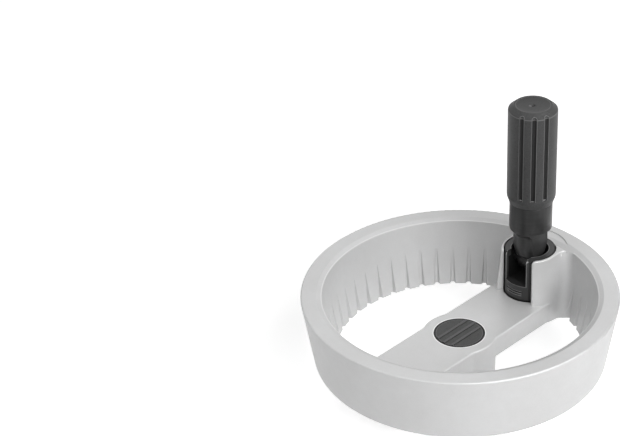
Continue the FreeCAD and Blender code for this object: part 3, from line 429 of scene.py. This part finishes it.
def sleeve_marks(graph):
    """Painted shade on the flutes' floors, painted glints on their lower ends, painted highlight
    lines on their edges, and a painted highlight line on the shoulder.
    """
    aside, y, z = graph.grip_axes()
    radius = graph.reach(aside, y)
    floor = graph.both(graph.below(radius, FLUTE_FLOOR, WIDE_SOFT),
                       graph.within(z, FLUTE_LOW, FLUTE_HIGH))
    end = graph.both(graph.below(radius, FLUTE_FLOOR + NEAR),
                     graph.within(z, FLUTE_LOW, FLUTE_LOW + FLUTE_END_HEIGHT))
    shoulder = graph.within(z, SHOULDER_Z - WIDE_SOFT, SHOULDER_Z + FINE_SOFT)
    edges = [flute_edge(graph, aside, y, turn) for turn in FLUTE_TURNS]
    edge = graph.both(graph.either(*edges), graph.above(z, FLUTE_LOW))
    # Painted shade on the floors; painted highlights on the ends, the shoulder and the edges.
    return [(floor, 0.006), (end, 0.20), (shoulder, 0.12), (edge, 0.135)]


def cap_marks(graph):
    """A painted highlight line on the cap's rim, a pale gate mark, and painted shade on one side
    of the dimple.
    """
    aside, y, _ = graph.grip_axes()
    line = graph.within(graph.reach(aside, y), CAP_RIM - 2 * NEAR, CAP_RIM + NEAR)
    gate = graph.spot(aside, y, GATE_PLACE, GATE_RADIUS)
    dimple = graph.spot(aside, y, DIMPLE_PLACE, DIMPLE_RADIUS)
    # Painted highlight on the rim line, painted shade on the dimple.
    return [(line, 0.10), (gate, 0.10), (dimple, 0.008)]


def cover_marks(graph):
    """Ribs with painted highlights on their tops and painted shade on their flanks, and a painted
    highlight line inside a border of painted shade.
    """
    x, y, z = graph.axes()
    radius = graph.reach(x, y)
    top = graph.above(z, RIB_TOP - NEAR, FINE_SOFT)
    flank = graph.within(z, FLANK_LOW, FLANK_HIGH, FINEST_SOFT)
    line = graph.within(radius, COVER_BORDER - 2 * NEAR, COVER_BORDER)
    border = graph.above(radius, COVER_BORDER + SOFT)
    # Painted highlights on the rib tops and the inner line; painted shade on flanks and border.
    return [(top, 0.085), (flank, 0.010), (line, 0.11), (border, SHADE_TONE)]


def edge_highlight_material(name, level, rough):
    """A painted highlight for the rounded edge of a black part, a little lighter than its faces.
    """
    graph = Graph(name)
    highlight_noise = graph.noise(240.0, 3.0)
    tone = graph.mix(graph.remap(highlight_noise, 0.35, 0.65, 0, 1), grey(level * 0.75), grey(level))
    return graph.set(Base_Color=tone, Roughness=rough)


def housing_plastic():
    """The housing's plastic, with painted shade inside and along its border, and painted
    highlights on its edges, ears and notch.
    """
    graph = HousingGraph("housing_plastic")
    inside_shade = graph.inside_shade()
    notch, recess = graph.notch()
    grain = graph.noise(1500.0, 2.0)
    clouds = graph.noise(60.0, 3.0)
    tone = graph.mix(graph.remap(clouds, 0.35, 0.65, 0, 1), grey(0.030), grey(0.040, 0.01))
    # Painted highlight lines on the edges of the slot, the sill and the hole.
    tone = graph.mix(graph.edge_highlights(), tone, grey(HIGHLIGHT_TONE))
    # Painted highlights on the ears' curved faces.
    tone = graph.mix(graph.ears(), tone, grey(0.45))
    # Painted highlights on the notch's edges and bar, painted shade in its recess.
    tone = graph.mix(notch, tone, grey(HIGHLIGHT_TONE))
    tone = graph.mix(recess, tone, grey(SHADE_TONE))
    # Painted shade inside the housing and along its border.
    tone = graph.mix(graph.either(inside_shade, graph.outline()), tone, grey(SHADE_TONE))
    rough = graph.math("ADD", graph.remap(grain, 0.3, 0.7, 0.40, 0.50),
                       graph.math("MULTIPLY", inside_shade, 0.4))
    return graph.set(Base_Color=tone, Roughness=rough, Specular_IOR_Level=0.35,
                     Normal=graph.bump(grain, 0.3, 0.00006))


def black_steel():
    """Turned and blackened steel, with faint turning rings, and painted shade round its pivot,
    where it sits in the housing.
    """
    graph = Graph("black_steel")
    rings = graph.noise(900.0, 2.0, graph.stretch(0.04, 0.04, 1.0))
    clouds = graph.noise(70.0, 3.0)
    grain = graph.noise(1800.0, 2.0)
    bands = graph.noise(230.0, 1.0, graph.stretch(1.0, 1.0, 0.06))
    tone = graph.mix(graph.remap(clouds, 0.35, 0.65, 0, 1), grey(0.034), grey(0.046, 0.01))
    tone = graph.mix(graph.remap(rings, 0.4, 0.7, 0, 0.3), tone, grey(0.065))
    tone = graph.mix(graph.remap(bands, 0.35, 0.65, 0.6, 0), tone, grey(0.012))
    # Painted shade on the neck's lower part, where it sits in the housing.
    inside_shade = graph.below(graph.axes()[2], SHADE_TOP, SHADE_FADE)
    tone = graph.mix(inside_shade, tone, grey(0.012))
    rough = graph.remap(rings, 0.3, 0.7, 0.34, 0.44)
    normal = graph.bump(rings, 0.15, 0.00004)
    normal = graph.bump(grain, 0.2, 0.00003, normal)
    return graph.set(Base_Color=tone, Metallic=0.25, Roughness=rough, Normal=normal,
                     Specular_IOR_Level=0.35)


def bright_steel(name, level, rough_low, rough_high):
    """Ground or drawn steel with fine lines; a low level with a high roughness is the same steel
    painted as if in shade.
    """
    graph = Graph(name)
    lines = graph.noise(1400.0, 2.0, graph.stretch(1.0, 1.0, 0.08))
    clouds = graph.noise(160.0, 3.0)
    tone = graph.mix(graph.remap(clouds, 0.3, 0.7, 0, 1), grey(level), grey(level * 0.8))
    rough = graph.remap(lines, 0.3, 0.7, rough_low, rough_high)
    return graph.set(Base_Color=tone, Metallic=1.0, Roughness=rough,
                     Normal=graph.bump(lines, 0.15, 0.00003))


def soften_edges(name, width, edge):
    """Give a node's sharp edges a small round, in a material of its own, lighter as a painted
    highlight.
    """
    piece = NODES[name]
    piece.data.materials.append(edge)
    weld = piece.modifiers.new("weld", "WELD")
    weld.merge_threshold = WELD_DISTANCE
    bevel = piece.modifiers.new("edge_round", "BEVEL")
    bevel.width = width
    bevel.segments = BEVEL_SEGMENTS
    bevel.limit_method = "ANGLE"
    bevel.angle_limit = math.radians(BEVEL_ANGLE)
    bevel.harden_normals = True
    bevel.material = 1


def finish_nodes():
    """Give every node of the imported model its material, and three of them rounded edges."""
    metal = cast_aluminium()
    sleeve = black_plastic("sleeve_plastic", 0.040, 0.44, 0.54, sleeve_marks)
    cover = black_plastic("cover_plastic", 0.044, 0.40, 0.50, cover_marks)
    cap = black_plastic("cap_plastic", 0.028, 0.46, 0.56, cap_marks)
    housing = housing_plastic()
    neck = black_steel()
    steel = bright_steel("bright_steel", 0.55, 0.25, 0.40)
    # The pivot pin and the brake parts sit in the housing: their steel is darkened as painted
    # shade.
    shaded_steel = bright_steel("steel_in_painted_shade", 0.03, 0.45, 0.60)
    # Lighter materials for rounded edges: painted highlights.
    plastic_edge_highlight = edge_highlight_material("plastic_edge_highlight", 0.17, 0.35)
    steel_edge_highlight = edge_highlight_material("steel_edge_highlight", 0.10, 0.30)
    finishes = {
        "wheel_body": metal, "hub_cover": cover, "grip_housing": housing, "grip_neck": neck,
        "grip_sleeve": sleeve, "grip_end_cap": cap, "pivot_pin": shaded_steel}
    for name, piece in NODES.items():
        brake = name.startswith("brake_")
        material = finishes.get(name, shaded_steel if brake else steel)
        piece.data.materials.clear()
        piece.data.materials.append(material)
    for name, width, edge in (("hub_cover", 0.00012, plastic_edge_highlight),
                              ("grip_neck", 0.00016, steel_edge_highlight),
                              ("grip_end_cap", 0.00014, plastic_edge_highlight)):
        soften_edges(name, width, edge)


def add_lamp(name, azimuth, elevation, power):
    """Add a square soft box that looks at the wheel, placed by its direction in degrees."""
    across = LAMP_DISTANCE * math.cos(math.radians(elevation))
    place = Vector((across * math.cos(math.radians(azimuth)),
                    across * math.sin(math.radians(azimuth)),
                    LAMP_TARGET[2] + LAMP_DISTANCE * math.sin(math.radians(elevation))))
    data = bpy.data.lights.new(name, "AREA")
    data.shape = "SQUARE"
    data.size = LAMP_SIZE
    data.energy = power
    light = bpy.data.objects.new(name, data)
    light.location = place
    light.rotation_euler = (Vector(LAMP_TARGET) - place).to_track_quat("-Z", "Y").to_euler()
    bpy.context.scene.collection.objects.link(light)


def seen_directly(nodes, links):
    """Return a socket that is 1 for camera, glossy and transmitted rays."""
    path = nodes.new("ShaderNodeLightPath")
    share = path.outputs["Is Camera Ray"]
    for name in ("Is Glossy Ray", "Is Transmission Ray"):
        join = nodes.new("ShaderNodeMath")
        join.operation = "MAXIMUM"
        links.new(share, join.inputs[0])
        links.new(path.outputs[name], join.inputs[1])
        share = join.outputs[0]
    return share


def add_floor():
    """Add a white floor under the hub that keeps a faint shadow of the wheel."""
    mesh = bpy.data.meshes.new("floor")
    corners = [(-1, -1), (1, -1), (1, 1), (-1, 1)]
    mesh.from_pydata([(x * FLOOR_HALF, y * FLOOR_HALF, 0) for x, y in corners],
                     [], [(0, 1, 2, 3)])
    floor = bpy.data.objects.new("floor", mesh)
    bpy.context.scene.collection.objects.link(floor)
    material = bpy.data.materials.new("floor_white")
    material.use_nodes = True
    nodes, links = material.node_tree.nodes, material.node_tree.links
    shader = nodes["Principled BSDF"]
    shader.inputs["Base Color"].default_value = grey(FLOOR_TONE)
    shader.inputs["Roughness"].default_value = FLOOR_ROUGHNESS
    shader.inputs["Emission Color"].default_value = (1, 1, 1, 1)
    lift = nodes.new("ShaderNodeMath")
    lift.operation = "MULTIPLY"
    links.new(seen_directly(nodes, links), lift.inputs[0])
    lift.inputs[1].default_value = FLOOR_LIFT
    links.new(lift.outputs[0], shader.inputs["Emission Strength"])
    mesh.materials.append(material)


def add_world():
    """Add a white world that is seen and reflected; the lamps alone light the wheel."""
    world = bpy.data.worlds.new("studio")
    world.use_nodes = True
    nodes, links = world.node_tree.nodes, world.node_tree.links
    background = nodes["Background"]
    background.inputs["Color"].default_value = (1, 1, 1, 1)
    links.new(seen_directly(nodes, links), background.inputs["Strength"])
    bpy.context.scene.world = world
    bpy.context.scene.view_settings.view_transform = "Standard"


def add_studio():
    """Add the floor, the world and the lamps."""
    add_floor()
    add_world()
    for lamp in LAMPS:
        add_lamp(*lamp)


add_camera()
finish_nodes()
add_studio()
